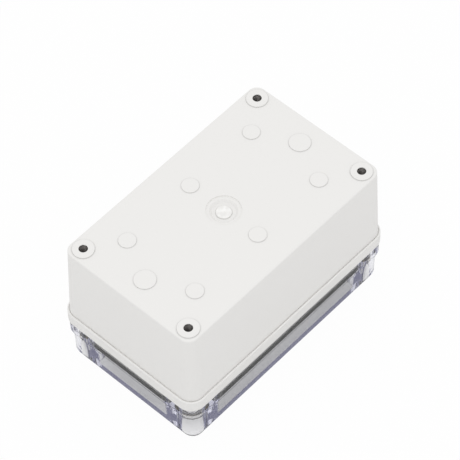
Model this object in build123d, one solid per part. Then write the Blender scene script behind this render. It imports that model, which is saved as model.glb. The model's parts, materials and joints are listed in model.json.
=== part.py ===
from build123d import *
import os
from math import radians, tan

# A sealed plastic enclosure: an opaque base, a clear lid, the gasket between
# them, four captive lid screws and the threaded inserts moulded into the base.
# It lies on its lid with its back upwards. Sizes are in millimetres. +X runs
# along the length, +Y across it, and +Z out of the back of the base. The
# origin is the centre of the lid's outer face.

# Outline of the flange. All outer corners share its corner centres.
flange_length = 130.0
flange_width = 80.0
corner_radius = 7.5

# Heights
lid_height = 24.0
seam_gap = 0.5
base_height = 50.0

# Base housing
flange_height = 6.3
flange_edge_radius = 0.6
ledge_width = 1.15
ledge_groove_width = 0.5
ledge_groove_depth = 0.5
base_draft = 2.1
back_thickness = 2.8
back_edge_radius = 0.8
cavity_draft = 1.0
cavity_edge_radius = 0.8

# Seal line, which runs inside the screw columns
seal_inset = 2.7
seal_reach = 7.5
seal_turn = 3.4
seal_width = 2.1
inner_rim = 1.1
tongue_height = 3.4
tongue_clearance = 0.25
gasket_height = 3.3
gasket_channel_depth = 0.4
gasket_channel_width = 1.0

# Clear lid
lid_thickness = 3.0
lip_height = 7.4
lip_inset = 0.5
lip_edge_radius = 0.6
lid_inset = 1.85
lid_draft = 1.5
lid_edge_radius = 1.0
well_radius = 4.75
well_depth = 17.0
screw_hole_radius = 2.7
stop_ring_radius = 5.0

# Captive lid screws
screw_inset = 9.0
thread_radius = 1.95
thread_length = 7.0
shank_radius = 1.6
head_radius = 3.6
head_height = 3.2
head_edge = 0.4
recess_width = 1.1
recess_length = 4.6
recess_depth = 1.9
recess_draft = 8.0
tip_chamfer = 0.5

# Seal ring under each screw head
ring_height = 1.4
ring_thickness = 1.5
ring_clearance = 0.15
ring_edge = 0.35

# Threaded inserts in the base, one for each lid screw
lid_insert_radius = 3.1
lid_insert_length = 9.0
lid_insert_head_radius = 3.8
lid_insert_head_height = 0.8
thread_clearance = 0.1
tip_clearance = 2.5

# Threaded inserts that mount the base from behind, on the screws' axes
mount_insert_radius = 3.5
mount_insert_length = 10.0
mount_bore_radius = 2.1
mount_bore_depth = 8.5
mount_skin = 0.5

# Waist that keys an insert in the plastic
waist_width = 1.2
waist_depth = 0.35

# Bosses inside the base for a circuit board and a mounting plate
board_inset_x = 25.0
board_inset_y = 20.0
board_boss_radius = 4.0
board_boss_height = 6.5
board_insert_radius = 2.3
board_insert_length = 5.0
board_bore_radius = 1.5
plate_inset = 15.0
plate_boss_radius = 5.2
plate_boss_height = 8.0
plate_insert_radius = 3.0
plate_insert_length = 6.5
plate_bore_radius = 2.0
boss_draft = 1.0
bore_end = 0.8

# Marks on the back: a ring round each mounting hole, a disc over each boss
mount_ring_radius = 5.0
mount_ring_height = 0.5
board_disc_radius = 4.0
plate_disc_radius = 5.0
disc_height = 0.4
mark_edge = 0.15

# Gate mark in the middle of the back, with a pad behind it inside the base
dish_radius = 8.1
dish_step = 0.5
dish_ledge = 1.2
dish_slope = 1.5
dish_depth = 1.8
dish_edge_radius = 0.5
nub_radius = 3.6
nub_height = 0.5
nub_edge_radius = 0.3
gate_pad_height = 1.2

# Places worked out from the sizes
screw_x = flange_length / 2 - screw_inset
screw_y = flange_width / 2 - screw_inset
board_x = flange_length / 2 - board_inset_x
board_y = flange_width / 2 - board_inset_y
plate_x = flange_length / 2 - plate_inset

# Levels worked out from the sizes
lip_z = lid_height - lip_height
rim_z = lid_height + seam_gap
ledge_z = rim_z + flange_height
back_z = rim_z + base_height
ceiling_z = back_z - back_thickness
tongue_z = rim_z - tongue_height
groove_floor_z = tongue_z - gasket_height
cavity_step = seal_width / 2 + inner_rim
seat_z = well_depth - ring_height
lid_bore_radius = thread_radius + thread_clearance

# How near two numbers lie that mean the same place
same_place = 0.01

corners = [(-screw_x, -screw_y), (screw_x, -screw_y), (screw_x, screw_y), (-screw_x, screw_y)]
board_points = [(x, y) for y in (-board_y, board_y) for x in (-board_x, 0, board_x)]
plate_points = [(-plate_x, 0), (plate_x, 0)]


def outline(inset):
    """Rounded rectangle, set in from the flange with the same corner centres."""
    return RectangleRounded(
        flange_length - 2 * inset,
        flange_width - 2 * inset,
        corner_radius - inset,
    )


def vertices_at(shape, x, y):
    """The four vertices of a shape that lie at plus or minus x and y."""
    return [
        v for v in shape.vertices()
        if abs(abs(v.X) - x) < same_place and abs(abs(v.Y) - y) < same_place
    ]


def seal_outline(offset):
    """Outline beside the seal line, which turns in round each screw."""
    half_x = flange_length / 2 - seal_inset + offset
    half_y = flange_width / 2 - seal_inset + offset
    turn_x = screw_x - seal_reach + offset
    turn_y = screw_y - seal_reach + offset
    cross = Rectangle(2 * half_x, 2 * turn_y) + Rectangle(2 * turn_x, 2 * half_y)
    cross = fillet(vertices_at(cross, turn_x, turn_y), seal_reach - offset)
    outer = vertices_at(cross, half_x, turn_y) + vertices_at(cross, turn_x, half_y)
    return fillet(outer, seal_turn + offset)


def seal_band(width):
    """Closed band of a given width along the seal line."""
    return seal_outline(width / 2) - seal_outline(-width / 2)


def disc(x, y, z, radius, height):
    """Round solid standing on the level z."""
    return Pos(x, y, z) * extrude(Circle(radius), height)


def raised_disc(x, y, radius, height):
    """Low disc on the back with a broken upper edge."""
    solid = disc(x, y, back_z, radius, height)
    return chamfer(solid.edges().group_by(Axis.Z)[-1], mark_edge)


def insert_blank(radius, length, head_radius=0.0, head_height=0.0):
    """Threaded insert before boring. Its mouth is at the origin, facing -Z."""
    solid = extrude(Circle(radius), length)
    waist = extrude(Circle(radius) - Circle(radius - waist_depth), waist_width)
    solid -= Pos(0, 0, (length - waist_width) / 2) * waist
    if head_radius > radius:
        solid += extrude(Circle(head_radius), head_height)
    return solid


def base_housing():
    """Drafted body on its flange, hollowed out from the rim."""
    body = extrude(Pos(0, 0, ledge_z) * outline(ledge_width), back_z - ledge_z, taper=base_draft)
    body = fillet(body.edges().group_by(Axis.Z)[-1], back_edge_radius)
    flange = extrude(Pos(0, 0, rim_z) * outline(0), flange_height)
    flange = fillet(flange.edges().group_by(Axis.Z)[-1], flange_edge_radius)
    groove = outline(ledge_width - ledge_groove_width) - outline(ledge_width)
    flange -= Pos(0, 0, ledge_z - ledge_groove_depth) * extrude(groove, ledge_groove_depth)
    cavity = extrude(
        Pos(0, 0, rim_z) * seal_outline(-cavity_step),
        ceiling_z - rim_z,
        taper=cavity_draft,
    )
    cavity = fillet(cavity.edges().group_by(Axis.Z)[-1], cavity_edge_radius)
    tongue = extrude(seal_band(seal_width - 2 * tongue_clearance), tongue_height)
    return body + flange - cavity + Pos(0, 0, tongue_z) * tongue


def boss(x, y, radius, height):
    """Boss that hangs from the ceiling of the base and widens towards it."""
    return extrude(
        Pos(x, y, ceiling_z) * Circle(radius + height * tan(radians(boss_draft))),
        -height,
        taper=boss_draft,
    )


def gate_mark():
    """Stepped dish to cut in the middle of the back, and the nub left in it."""
    floor_z = back_z - dish_depth
    upper_radius = dish_radius - dish_ledge
    dish = Pos(0, 0, floor_z + dish_depth / 2) * Cone(
        upper_radius - dish_slope, upper_radius, dish_depth
    )
    dish = fillet(dish.edges().group_by(Axis.Z)[0], dish_edge_radius)
    dish += disc(0, 0, back_z - dish_step, dish_radius, dish_step)
    nub = disc(0, 0, floor_z, nub_radius, nub_height)
    nub = fillet(nub.edges().group_by(Axis.Z)[-1], nub_edge_radius)
    return dish, nub


def make_base():
    """The base and the inserts moulded into it, as a dict of named solids."""
    parts = {}
    shell = base_housing()

    lid_blank = insert_blank(
        lid_insert_radius, lid_insert_length, lid_insert_head_radius, lid_insert_head_height
    )
    mount_blank = insert_blank(mount_insert_radius, mount_insert_length)
    mount_z = back_z + mount_ring_height - mount_skin
    for number, (x, y) in enumerate(corners, 1):
        shell += raised_disc(x, y, mount_ring_radius, mount_ring_height)
        lid_body = Pos(x, y, rim_z) * lid_blank
        mount_body = Pos(x, y, mount_z) * Rot(180, 0, 0) * mount_blank
        shell -= lid_body + mount_body
        shell -= disc(x, y, rim_z, lid_bore_radius, thread_length + tip_clearance)
        shell -= disc(x, y, mount_z, mount_bore_radius, 2 * mount_skin)
        parts[f"lid_insert_{number}"] = lid_body - disc(
            x, y, rim_z, lid_bore_radius, lid_insert_length
        )
        parts[f"mount_insert_{number}"] = mount_body - disc(
            x, y, mount_z - mount_bore_depth, mount_bore_radius, mount_bore_depth
        )

    groups = [
        ("board", board_points, board_boss_radius, board_boss_height,
         board_insert_radius, board_insert_length, board_bore_radius, board_disc_radius),
        ("plate", plate_points, plate_boss_radius, plate_boss_height,
         plate_insert_radius, plate_insert_length, plate_bore_radius, plate_disc_radius),
    ]
    for name, points, boss_r, boss_h, insert_r, insert_l, bore_r, disc_r in groups:
        blank = insert_blank(insert_r, insert_l)
        for number, (x, y) in enumerate(points, 1):
            tip_z = ceiling_z - boss_h
            shell += boss(x, y, boss_r, boss_h)
            shell += raised_disc(x, y, disc_r, disc_height)
            insert_body = Pos(x, y, tip_z) * blank
            shell -= insert_body
            shell -= disc(x, y, tip_z, bore_r, insert_l + bore_end)
            parts[f"{name}_insert_{number}"] = insert_body - disc(x, y, tip_z, bore_r, insert_l)

    shell += disc(0, 0, ceiling_z - gate_pad_height, dish_radius, gate_pad_height)
    dish, nub = gate_mark()
    parts["base_shell"] = shell - dish + nub
    return parts


def make_lid():
    """The clear lid: drafted wall, proud lip, seal groove and screw wells."""
    wall_inset = lid_inset + lip_z * tan(radians(lid_draft))
    wall = extrude(outline(wall_inset), lip_z, taper=-lid_draft)
    wall = fillet(wall.edges().group_by(Axis.Z)[0], lid_edge_radius)
    lip = Pos(0, 0, lip_z) * extrude(outline(lip_inset), lip_height)
    lip = fillet(lip.edges().group_by(Axis.Z)[0], lip_edge_radius)
    cavity = extrude(
        Pos(0, 0, lid_height) * seal_outline(-cavity_step),
        lid_thickness - lid_height,
        taper=cavity_draft,
    )
    groove = Pos(0, 0, groove_floor_z) * extrude(seal_band(seal_width), lid_height - groove_floor_z)
    lid = wall + lip - cavity - groove
    for x, y in corners:
        lid += disc(x, y, lid_height, stop_ring_radius, seam_gap)
        lid -= disc(x, y, 0, well_radius, well_depth)
        lid -= disc(x, y, 0, screw_hole_radius, rim_z)
    return lid


def make_gasket():
    """Gasket in the floor of the groove, with two sealing lips under the tongue."""
    gasket = Pos(0, 0, groove_floor_z) * extrude(seal_band(seal_width), gasket_height)
    channel = extrude(seal_band(gasket_channel_width), gasket_channel_depth)
    return gasket - Pos(0, 0, tongue_z - gasket_channel_depth) * channel


def make_screw():
    """Captive screw on the Z axis, at its height in the closed enclosure."""
    head_z = seat_z - head_height
    tip_z = rim_z + thread_length
    head = disc(0, 0, head_z, head_radius, head_height)
    head = chamfer(head.edges().group_by(Axis.Z)[0], head_edge)
    thread = disc(0, 0, rim_z, thread_radius, thread_length)
    thread = chamfer(thread.edges().group_by(Axis.Z)[-1], tip_chamfer)
    screw = head + disc(0, 0, seat_z, shank_radius, rim_z - seat_z) + thread
    for angle in (0, 90):
        arm = Rot(0, 0, angle) * Rectangle(recess_length, recess_width)
        screw -= extrude(Pos(0, 0, head_z) * arm, recess_depth, taper=recess_draft)
    return screw


def make_screw_seal():
    """Seal ring that grips the shank and seats on the well's shoulder."""
    inner_radius = shank_radius + ring_clearance
    band = Circle(inner_radius + ring_thickness) - Circle(inner_radius)
    ring = Pos(0, 0, seat_z) * extrude(band, ring_height)
    return chamfer(ring.edges(), ring_edge)


def make_parts():
    """Every separate piece, by the name of its node."""
    parts = make_base()
    parts["lid_cover"] = make_lid()
    parts["gasket"] = make_gasket()
    screw = make_screw()
    ring = make_screw_seal()
    for number, (x, y) in enumerate(corners, 1):
        parts[f"lid_screw_{number}"] = Pos(x, y, 0) * screw
        parts[f"screw_seal_{number}"] = Pos(x, y, 0) * ring
    return parts


os.makedirs("parts", exist_ok=True)
for node, solid in make_parts().items():
    export_step(solid, f"parts/{node}.step")
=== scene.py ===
import bmesh
import bpy
import json
from math import atan2, cos, pi, radians, sin
from mathutils import Matrix, Vector


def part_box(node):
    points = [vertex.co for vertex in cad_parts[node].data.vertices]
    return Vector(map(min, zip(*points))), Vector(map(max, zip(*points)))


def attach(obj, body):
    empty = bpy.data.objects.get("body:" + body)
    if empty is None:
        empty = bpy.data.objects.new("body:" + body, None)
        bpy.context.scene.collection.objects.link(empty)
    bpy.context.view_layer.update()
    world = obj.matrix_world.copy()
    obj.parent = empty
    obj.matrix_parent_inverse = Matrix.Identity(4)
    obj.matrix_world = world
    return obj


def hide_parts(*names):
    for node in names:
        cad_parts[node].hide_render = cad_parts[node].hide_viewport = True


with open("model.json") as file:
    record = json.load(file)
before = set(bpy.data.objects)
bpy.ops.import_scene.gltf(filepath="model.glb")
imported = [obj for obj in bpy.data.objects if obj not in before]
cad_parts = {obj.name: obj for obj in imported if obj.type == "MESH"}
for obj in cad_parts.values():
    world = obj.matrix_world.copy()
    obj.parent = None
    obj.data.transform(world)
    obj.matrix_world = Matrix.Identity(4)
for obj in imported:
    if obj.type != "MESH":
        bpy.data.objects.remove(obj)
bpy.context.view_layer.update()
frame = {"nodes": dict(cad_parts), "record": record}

# Camera, in the photograph's 460 x 460 frame
image_pixels = 460
sensor_width = 36.0
focal_pixels = 2778.24
azimuth = -46.454
elevation = 53.723
roll = -1.387
distance = 1.25405
target = Vector((0.01488, 0.01068, 0.035))
clip_near = 0.01
clip_far = 20.0

# Threads, by the kind of piece: pitch and depth in metres, rows to a turn and sides
screw_thread = {"pitch": 0.0007, "depth": 0.0004, "rows": 8, "sides": 36}
insert_threads = {
    "mount_insert": {"pitch": 0.0008, "depth": 0.0004, "rows": 6, "sides": 36},
    "lid_insert": {"pitch": 0.0007, "depth": 0.00035, "rows": 4, "sides": 24},
    "plate_insert": {"pitch": 0.0007, "depth": 0.00035, "rows": 4, "sides": 24},
    "board_insert": {"pitch": 0.0005, "depth": 0.00025, "rows": 4, "sides": 24},
}

# Share of the pitch that is flat at a thread's crest, and as much again at its root
thread_flat = 0.125

# Height of the bore's thread at both ends, where 1 is its crest: a little inside the bore
bore_edge = 1.05

# Share of the pitch by which the screw's thread starts below its full width
thread_run_in = 0.25

# Limits for meshes: distances in metres, an angle in degrees, and how far the normal of a
# bore's face may point along the bore
same_place = 0.00001
weld = 0.000001
sharp_angle = 30.0
wall_tilt = 0.5

# Relief is in metres, and a grain is a number of grains to the metre
white = (1.0, 1.0, 1.0, 1.0)
relief_strength = 0.5

# Housing plastic
housing_ior = 1.5
housing_grain = 2600.0
housing_relief = 0.00002
housing_roughness = (0.44, 0.56)
housing_colour = (0.828, 0.819, 0.803, 1.0)
# Painted shade: this colour is laid into the creases round the marks on the back by ambient
# occlusion
painted_crease_shade = (0.38, 0.38, 0.37, 1.0)
# Painted shade: near-black colour laid into the seam between housing and lid by ambient
# occlusion
painted_seam_shade = (0.07, 0.068, 0.08, 1.0)
shade_reach = 0.0007
shade_samples = 8

# Painted shade falls only this deep below the back and this far above the seam
back_marks_depth = 0.002
seam_margin = 0.0002

# Distances from the middle of the back between which the dish gets no painted shade
dish_from = 0.0039
dish_to = 0.0095

# Lighter patches on the nub in the dish, and the noise between whose levels they fade in
gate_radius = 0.0033
pale_patch_colour = (0.93, 0.925, 0.91, 1.0)
gate_grain = 450.0
gate_levels = (0.4, 0.65)

# Clear plastic, with a painted glow that stands in for the light which stays trapped in it
clear_ior = 1.585
clear_grain = 120.0
clear_roughness = (0.01, 0.035)
clear_waves = 220.0
wave_detail = 1.0
clear_relief = 0.00003
clear_tint = (0.73, 0.73, 0.82, 1.0)
clear_density = 55.0
painted_glow_colour = (0.125, 0.125, 0.165, 1.0)
trapped_after = 3.5

# Rubber, by slot
rubber_colours = {"gasket": (0.02, 0.02, 0.028), "seal_ring": (0.6, 0.6, 0.59)}
rubber_grain = 900.0
rubber_relief = 0.00003
rubber_roughness = (0.5, 0.7)

# Metal, by slot. Rings are a number of turning marks to the metre
metals = {
    "screw": {"colour": (0.62, 0.61, 0.59), "roughness": 0.25, "rings": 6000.0},
    "dark_insert": {"colour": (0.2, 0.188, 0.18), "roughness": 0.45},
    "brass_insert": {"colour": (0.78, 0.6, 0.32), "roughness": 0.3},
}
metal_stains = 700.0
stain_detail = 5.0
stain_share = 0.3
metal_grain = 1500.0
metal_relief = 0.000008
metal_strength = 0.6
ring_distortion = 0.6

# Scale at which the wave texture makes one ring to the metre
ring_scale = pi / 10

# Studio
floor_colour = (0.8, 0.8, 0.8, 1.0)
floor_size = 3.0
floor_gap = 0.0001
floor_white = {"Is Camera Ray": 0.97, "Is Glossy Ray": 0.1, "Is Transmission Ray": 0.27}

# Painted light: distances from the middle between which the floor seen through the lid turns
# whiter, towards the lid's corners
corner_from = 0.058
corner_to = 0.073
painted_corner_light = 0.6

# Light
world_strength = 0.965
key_power = 0.6
key_size = 0.7
key_place = Vector((-0.25, -0.15, 0.9))


def view_axes():
    """Right, up and back directions of the camera."""
    a, e, r = radians(azimuth), radians(elevation), radians(roll)
    back = Vector((sin(a) * cos(e), -cos(a) * cos(e), sin(e)))
    level = Vector((cos(a), sin(a), 0.0))
    upright = back.cross(level)
    right = cos(r) * level + sin(r) * upright
    up = -sin(r) * level + cos(r) * upright
    return right, up, back


def make_camera():
    """The camera that sees the part as the photograph does."""
    data = bpy.data.cameras.new("camera")
    camera = bpy.data.objects.new("camera", data)
    bpy.context.scene.collection.objects.link(camera)
    right, up, back = view_axes()
    turn = Matrix((right, up, back)).transposed().to_4x4()
    camera.matrix_world = Matrix.Translation(target + back * distance) @ turn
    data.sensor_width = sensor_width
    data.lens = focal_pixels * sensor_width / image_pixels
    data.clip_start = clip_near
    data.clip_end = clip_far
    bpy.context.scene.camera = camera


def new_material(name):
    """A node material with its Principled shader."""
    material = bpy.data.materials.new(name)
    material.use_nodes = True
    tree = material.node_tree
    return material, tree, tree.nodes["Principled BSDF"]


def add_node(tree, kind, **values):
    """A new node. Each value is set on the input of that name, or else on the node."""
    node = tree.nodes.new(kind)
    for name, value in values.items():
        socket = node.inputs.get(name.replace("_", " "))
        if socket is None:
            setattr(node, name, value)
        else:
            socket.default_value = value
    return node


def add_math(tree, operation, *values):
    """A math node. Each value is a number or another node's output."""
    node = tree.nodes.new("ShaderNodeMath")
    node.operation = operation
    for socket, value in zip(node.inputs, values):
        if isinstance(value, bpy.types.NodeSocket):
            tree.links.new(value, socket)
        else:
            socket.default_value = value
    return node.outputs[0]


def set_inputs(shader, values):
    """Sets inputs of a shader by their names."""
    for name, value in values.items():
        shader.inputs[name].default_value = value


def object_place(tree):
    """Place of a point in its object's own frame, in metres."""
    return add_node(tree, "ShaderNodeTexCoord").outputs["Object"]


def height_in(tree):
    """Height of a point in its object's own frame."""
    axes = add_node(tree, "ShaderNodeSeparateXYZ")
    tree.links.new(object_place(tree), axes.inputs[0])
    return axes.outputs["Z"]


def radius_in(tree):
    """Distance of a point from its object's Z axis."""
    plan = add_node(tree, "ShaderNodeVectorMath", operation="MULTIPLY")
    plan.inputs[1].default_value = (1.0, 1.0, 0.0)
    tree.links.new(object_place(tree), plan.inputs[0])
    length = add_node(tree, "ShaderNodeVectorMath", operation="LENGTH")
    tree.links.new(plan.outputs[0], length.inputs[0])
    return length.outputs["Value"]


def between(tree, value, low, high):
    """1 where a value lies between two limits, and 0 elsewhere."""
    return add_math(tree, "COMPARE", value, (low + high) / 2, (high - low) / 2)


def add_bump(tree, shader, height, depth, strength=relief_strength):
    """Relief from a height output, of a depth in metres."""
    bump = add_node(tree, "ShaderNodeBump", Strength=strength, Distance=depth)
    tree.links.new(height, bump.inputs["Height"])
    tree.links.new(bump.outputs["Normal"], shader.inputs["Normal"])


def add_noise(tree, scale, detail=3.0):
    """Noise with a number of grains to the metre."""
    noise = add_node(tree, "ShaderNodeTexNoise", Scale=scale, Detail=detail)
    tree.links.new(object_place(tree), noise.inputs["Vector"])
    return noise.outputs["Fac"]


def add_range(tree, value, low, high, start=0.0, end=1.0):
    """A value that runs from low to high while another runs from start to end."""
    node = add_node(
        tree, "ShaderNodeMapRange", From_Min=start, From_Max=end, To_Min=low, To_Max=high
    )
    tree.links.new(value, node.inputs["Value"])
    return node.outputs["Result"]


def add_mix(tree, share, low, high):
    """A colour between two, each given as a colour or as another node's output."""
    mix = add_node(tree, "ShaderNodeMix", data_type="RGBA")
    tree.links.new(share, mix.inputs[0])
    for socket, value in ((mix.inputs[6], low), (mix.inputs[7], high)):
        if isinstance(value, bpy.types.NodeSocket):
            tree.links.new(value, socket)
        else:
            socket.default_value = value
    return mix.outputs[2]


def housing_colour_with_painted_shade(tree):
    """Colour of the housing, with painted shade in the creases round the marks on the back and
    painted near-black shade in the seam, both laid in by ambient occlusion.

    The walls and the dish get no painted shade, and the nub in the dish has lighter patches.
    """
    wall_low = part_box("lid_insert_1")[0].z + seam_margin
    wall_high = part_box("mount_insert_1")[1].z - back_marks_depth
    height = height_in(tree)
    radius = radius_in(tree)
    wall = between(tree, height, wall_low, wall_high)
    dish = between(tree, radius, dish_from, dish_to)
    plain = add_math(tree, "MAXIMUM", wall, dish)
    # Painted shade: ambient occlusion darkens the colour in creases and in the seam
    occlusion = add_node(
        tree, "ShaderNodeAmbientOcclusion", Distance=shade_reach, samples=shade_samples
    )
    unshaded_share = add_math(tree, "MAXIMUM", occlusion.outputs["AO"], plain)
    # Painted shade: near black in the seam, crease shade elsewhere
    seam = add_math(tree, "LESS_THAN", height, wall_low)
    painted_shade_colour = add_mix(tree, seam, painted_crease_shade, painted_seam_shade)
    # Lighter patches on the nub in the dish
    gate = add_math(tree, "LESS_THAN", radius, gate_radius)
    patches = add_range(tree, add_noise(tree, gate_grain), 0.0, 1.0, *gate_levels)
    pale_patch = add_math(tree, "MULTIPLY", gate, patches)
    flat = add_mix(tree, pale_patch, housing_colour, pale_patch_colour)
    return add_mix(tree, unshaded_share, painted_shade_colour, flat)


def housing_plastic():
    """Light-grey moulded plastic with a fine spark-eroded texture, and painted shade in its
    creases and seam.
    """
    material, tree, shader = new_material("housing")
    set_inputs(shader, {"IOR": housing_ior})
    tree.links.new(housing_colour_with_painted_shade(tree), shader.inputs["Base Color"])
    grain = add_noise(tree, housing_grain)
    add_bump(tree, shader, grain, housing_relief)
    roughness = add_range(tree, grain, *housing_roughness)
    tree.links.new(roughness, shader.inputs["Roughness"])
    return material


def clear_plastic():
    """Clear polycarbonate, a little blue where light runs a long way in it, and glowing with
    painted light after deep glossy bounces.
    """
    material, tree, shader = new_material("clear_lid")
    set_inputs(shader, {
        "Base Color": white,
        "IOR": clear_ior,
        "Transmission Weight": 1.0,
        "Emission Color": painted_glow_colour,
    })
    roughness = add_range(tree, add_noise(tree, clear_grain), *clear_roughness)
    tree.links.new(roughness, shader.inputs["Roughness"])
    add_bump(tree, shader, add_noise(tree, clear_waves, wave_detail), clear_relief)
    # Painted light: the plastic glows in the trapped colour once a ray has bounced off glossy
    # surfaces more than trapped_after times
    depth = add_node(tree, "ShaderNodeLightPath").outputs["Glossy Depth"]
    painted_glow = add_math(tree, "GREATER_THAN", depth, trapped_after)
    tree.links.new(painted_glow, shader.inputs["Emission Strength"])
    absorb = add_node(tree, "ShaderNodeVolumeAbsorption", Density=clear_density)
    absorb.inputs["Color"].default_value = clear_tint
    output = tree.nodes["Material Output"]
    tree.links.new(absorb.outputs["Volume"], output.inputs["Volume"])
    return material


def rubber(name, colour):
    """Soft elastomer with a matt skin."""
    material, tree, shader = new_material(name)
    set_inputs(shader, {"Base Color": (*colour, 1.0)})
    skin = add_noise(tree, rubber_grain)
    add_bump(tree, shader, skin, rubber_relief)
    roughness = add_range(tree, skin, *rubber_roughness)
    tree.links.new(roughness, shader.inputs["Roughness"])
    return material


def metal(name, colour, roughness, rings=0.0):
    """Bare metal with faint stains, and with rings round its axis where it is turned."""
    material, tree, shader = new_material(name)
    set_inputs(shader, {"Base Color": (*colour, 1.0), "Metallic": 1.0})
    stains = add_noise(tree, metal_stains, stain_detail)
    low, high = (1 - stain_share) * roughness, (1 + stain_share) * roughness
    tree.links.new(add_range(tree, stains, low, high), shader.inputs["Roughness"])
    relief = add_noise(tree, metal_grain)
    if rings:
        marks = add_node(
            tree, "ShaderNodeTexWave", wave_type="RINGS", rings_direction="Z",
            Scale=rings * ring_scale, Distortion=ring_distortion,
        )
        tree.links.new(object_place(tree), marks.inputs["Vector"])
        relief = add_math(tree, "ADD", relief, marks.outputs["Fac"])
    add_bump(tree, shader, relief, metal_relief, metal_strength)
    return material


def make_materials():
    """The material of each slot in the record."""
    made = {"housing": housing_plastic(), "clear_lid": clear_plastic()}
    for slot, colour in rubber_colours.items():
        made[slot] = rubber(slot, colour)
    for slot, values in metals.items():
        made[slot] = metal(slot, **values)
    return made


def paint_nodes(materials):
    """Gives each node the material of its slot in the record."""
    for part in frame["record"]["subparts"]:
        mesh = frame["nodes"][part["node"]].data
        mesh.materials.clear()
        mesh.materials.append(materials[part["material_slot"]])


def thread_profile(turns):
    """Height of a thread along its axis by turns, from 0 at the root to 1 at the crest."""
    flank = 1 - abs(2 * (turns % 1.0) - 1)
    return min(1.0, max(0.0, (flank - thread_flat) / (1 - 2 * thread_flat)))


def add_thread(mesh, low, high, root, crest, end_height, pitch, rows, sides):
    """Right-hand thread about the Z axis, which fades to one height at both ends."""
    count = round((high - low) / pitch * rows)
    rings = []
    for row in range(count + 1):
        z = low + (high - low) * row / count
        share = min(1.0, (z - low) / pitch, (high - z) / pitch)
        ring = []
        for side in range(sides):
            profile = thread_profile((z - low) / pitch - side / sides)
            height = end_height + (profile - end_height) * share
            radius = root + (crest - root) * height
            angle = 2 * pi * side / sides
            ring.append(mesh.verts.new((radius * cos(angle), radius * sin(angle), z)))
        rings.append(ring)
    for lower, upper in zip(rings, rings[1:]):
        for side in range(sides):
            mesh.faces.new((lower[side - 1], lower[side], upper[side], upper[side - 1]))
    return rings


def turn_of(vertex):
    """Angle of a vertex round the Z axis."""
    return atan2(vertex.co.y, vertex.co.x)


def join_ring(mesh, ring):
    """Fills between a ring of vertices and the other open edge at its height."""
    z = ring[0].co.z
    open_edge = {
        vertex for edge in mesh.edges if edge.is_boundary
        for vertex in edge.verts if abs(vertex.co.z - z) < same_place
    }
    rings = [sorted(ring, key=turn_of), sorted(open_edge - set(ring), key=turn_of)]
    steps = [(vertex, k) for k in (0, 1) for vertex in rings[k]]
    steps.sort(key=lambda step: turn_of(step[0]))
    last = [rings[0][-1], rings[1][-1]]
    for vertex, k in steps:
        mesh.faces.new((vertex, last[k], last[1 - k]))
        last[k] = vertex


def node_on_axis(node):
    """Copy of a node's mesh with its own axis at the origin, and the axis's place."""
    low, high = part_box(node)
    axis = Vector(((low.x + high.x) / 2, (low.y + high.y) / 2, 0.0))
    mesh = bmesh.new()
    mesh.from_mesh(frame["nodes"][node].data)
    bmesh.ops.remove_doubles(mesh, verts=mesh.verts, dist=weld)
    bmesh.ops.translate(mesh, verts=mesh.verts, vec=-axis)
    return mesh, axis


def stand_in(node, mesh, axis, material):
    """Makes a piece of a mesh, in the place and body of the node that it replaces."""
    data = bpy.data.meshes.new(f"detailed_{node}")
    bmesh.ops.recalc_face_normals(mesh, faces=mesh.faces)
    for face in mesh.faces:
        face.smooth = True
    mesh.to_mesh(data)
    mesh.free()
    data.materials.append(material)
    data.set_sharp_from_angle(angle=radians(sharp_angle))
    piece = bpy.data.objects.new(f"detailed_{node}", data)
    bpy.context.scene.collection.objects.link(piece)
    piece.location = axis
    bodies = frame["record"]["behaviour"]["bodies"]
    body = next(name for name, nodes in bodies.items() if node in nodes)
    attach(piece, body)
    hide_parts(node)
    return piece


def bore_of(mesh):
    """Radius of a bore on the Z axis, and the faces of its wall."""
    inward = [
        face for face in mesh.faces
        if abs(face.normal.z) < wall_tilt
        and face.normal.xy.dot(face.calc_center_median().xy) < 0
    ]
    bore = min(vertex.co.xy.length for face in inward for vertex in face.verts)
    reach = bore + same_place
    return bore, [face for face in inward if all(v.co.xy.length < reach for v in face.verts)]


def threaded_insert(node, material, pitch, depth, rows, sides):
    """The insert with a thread cut in its bore."""
    mesh, axis = node_on_axis(node)
    bore, wall = bore_of(mesh)
    heights = [vertex.co.z for face in wall for vertex in face.verts]
    low, high = min(heights), max(heights)
    bmesh.ops.delete(mesh, geom=wall, context="FACES")
    rings = add_thread(mesh, low, high, bore + depth, bore, bore_edge, pitch, rows, sides)
    join_ring(mesh, rings[0])
    join_ring(mesh, rings[-1])
    return stand_in(node, mesh, axis, material)


def threaded_screw(node, material, pitch, depth, rows, sides):
    """The captive screw with its thread, above the plain shank."""
    mesh, axis = node_on_axis(node)
    head, tip = (corner.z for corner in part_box(node))
    upper_half = [vertex for vertex in mesh.verts if vertex.co.z > (head + tip) / 2]
    crest = max(vertex.co.xy.length for vertex in upper_half)
    start = min(v.co.z for v in upper_half if v.co.xy.length > crest - same_place)
    cut = Vector((0.0, 0.0, start - thread_run_in * pitch))
    geometry = mesh.verts[:] + mesh.edges[:] + mesh.faces[:]
    bmesh.ops.bisect_plane(
        mesh, geom=geometry, plane_co=cut, plane_no=(0, 0, 1), clear_outer=True
    )
    rings = add_thread(mesh, cut.z, tip, crest - depth, crest, 0.0, pitch, rows, sides)
    mesh.faces.new(rings[-1])
    join_ring(mesh, rings[0])
    return stand_in(node, mesh, axis, material)


def dress_fasteners(materials):
    """Replaces the plain screws and inserts with threaded ones."""
    for part in frame["record"]["subparts"]:
        node, slot = part["node"], part["material_slot"]
        kind = node.rstrip("0123456789").rstrip("_")
        if kind == "lid_screw":
            piece = threaded_screw(node, materials[slot], **screw_thread)
        elif kind in insert_threads:
            piece = threaded_insert(node, materials[slot], **insert_threads[kind])


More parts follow.
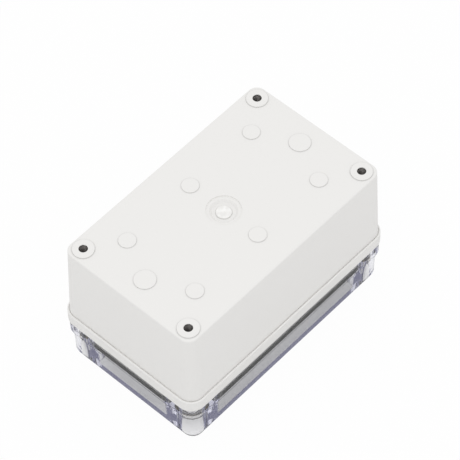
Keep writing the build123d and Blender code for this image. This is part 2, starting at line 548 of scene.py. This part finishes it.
def floor_material():
    """White where it is seen, with a share of the part's shadow, and painted light that whitens
    it towards the lid's corners where it is seen through the lid.
    """
    material, tree, shader = new_material("floor")
    tree.nodes.remove(shader)
    lit = add_node(tree, "ShaderNodeBsdfDiffuse", Color=floor_colour)
    glow = add_node(tree, "ShaderNodeEmission", Color=white, Strength=1.0)
    rays = add_node(tree, "ShaderNodeLightPath")
    share = 0.0
    for ray, part in floor_white.items():
        share = add_math(tree, "MULTIPLY_ADD", rays.outputs[ray], part, share)
    # Painted light: the floor seen through the lid turns whiter towards the lid's corners
    place = add_node(tree, "ShaderNodeVectorMath", operation="LENGTH")
    tree.links.new(object_place(tree), place.inputs[0])
    corner = add_range(tree, place.outputs["Value"], 0.0, painted_corner_light, corner_from, corner_to)
    share = add_math(tree, "MULTIPLY_ADD", rays.outputs["Is Transmission Ray"], corner, share)
    mix = add_node(tree, "ShaderNodeMixShader")
    tree.links.new(share, mix.inputs["Fac"])
    tree.links.new(lit.outputs[0], mix.inputs[1])
    tree.links.new(glow.outputs[0], mix.inputs[2])
    tree.links.new(mix.outputs[0], tree.nodes["Material Output"].inputs["Surface"])
    return material


def make_floor():
    """A square floor just under the part."""
    half = floor_size / 2
    mesh = bpy.data.meshes.new("floor")
    sides = ((-half, -half), (half, -half), (half, half), (-half, half))
    corners = [(x, y, -floor_gap) for x, y in sides]
    mesh.from_pydata(corners, [], [(0, 1, 2, 3)])
    mesh.materials.append(floor_material())
    floor = bpy.data.objects.new("floor", mesh)
    bpy.context.scene.collection.objects.link(floor)


def make_sky():
    """Even light from all round, which the camera sees as white."""
    world = bpy.data.worlds.new("world")
    world.use_nodes = True
    tree = world.node_tree
    light = tree.nodes["Background"]
    light.inputs["Strength"].default_value = world_strength
    light.inputs["Color"].default_value = white
    backdrop = add_node(tree, "ShaderNodeBackground", Color=white, Strength=1.0)
    rays = add_node(tree, "ShaderNodeLightPath")
    mix = add_node(tree, "ShaderNodeMixShader")
    tree.links.new(rays.outputs["Is Camera Ray"], mix.inputs["Fac"])
    tree.links.new(light.outputs[0], mix.inputs[1])
    tree.links.new(backdrop.outputs[0], mix.inputs[2])
    tree.links.new(mix.outputs[0], tree.nodes["World Output"].inputs["Surface"])
    bpy.context.scene.world = world


def make_key():
    """One large soft lamp overhead."""
    data = bpy.data.lights.new("key", "AREA")
    data.energy = key_power
    data.size = key_size
    key = bpy.data.objects.new("key", data)
    bpy.context.scene.collection.objects.link(key)
    key.location = key_place
    key.rotation_euler = (-key_place).to_track_quat("-Z", "Y").to_euler()


make_camera()
make_floor()
make_sky()
make_key()
materials = make_materials()
paint_nodes(materials)
dress_fasteners(materials)
bpy.context.scene.view_settings.view_transform = "Standard"
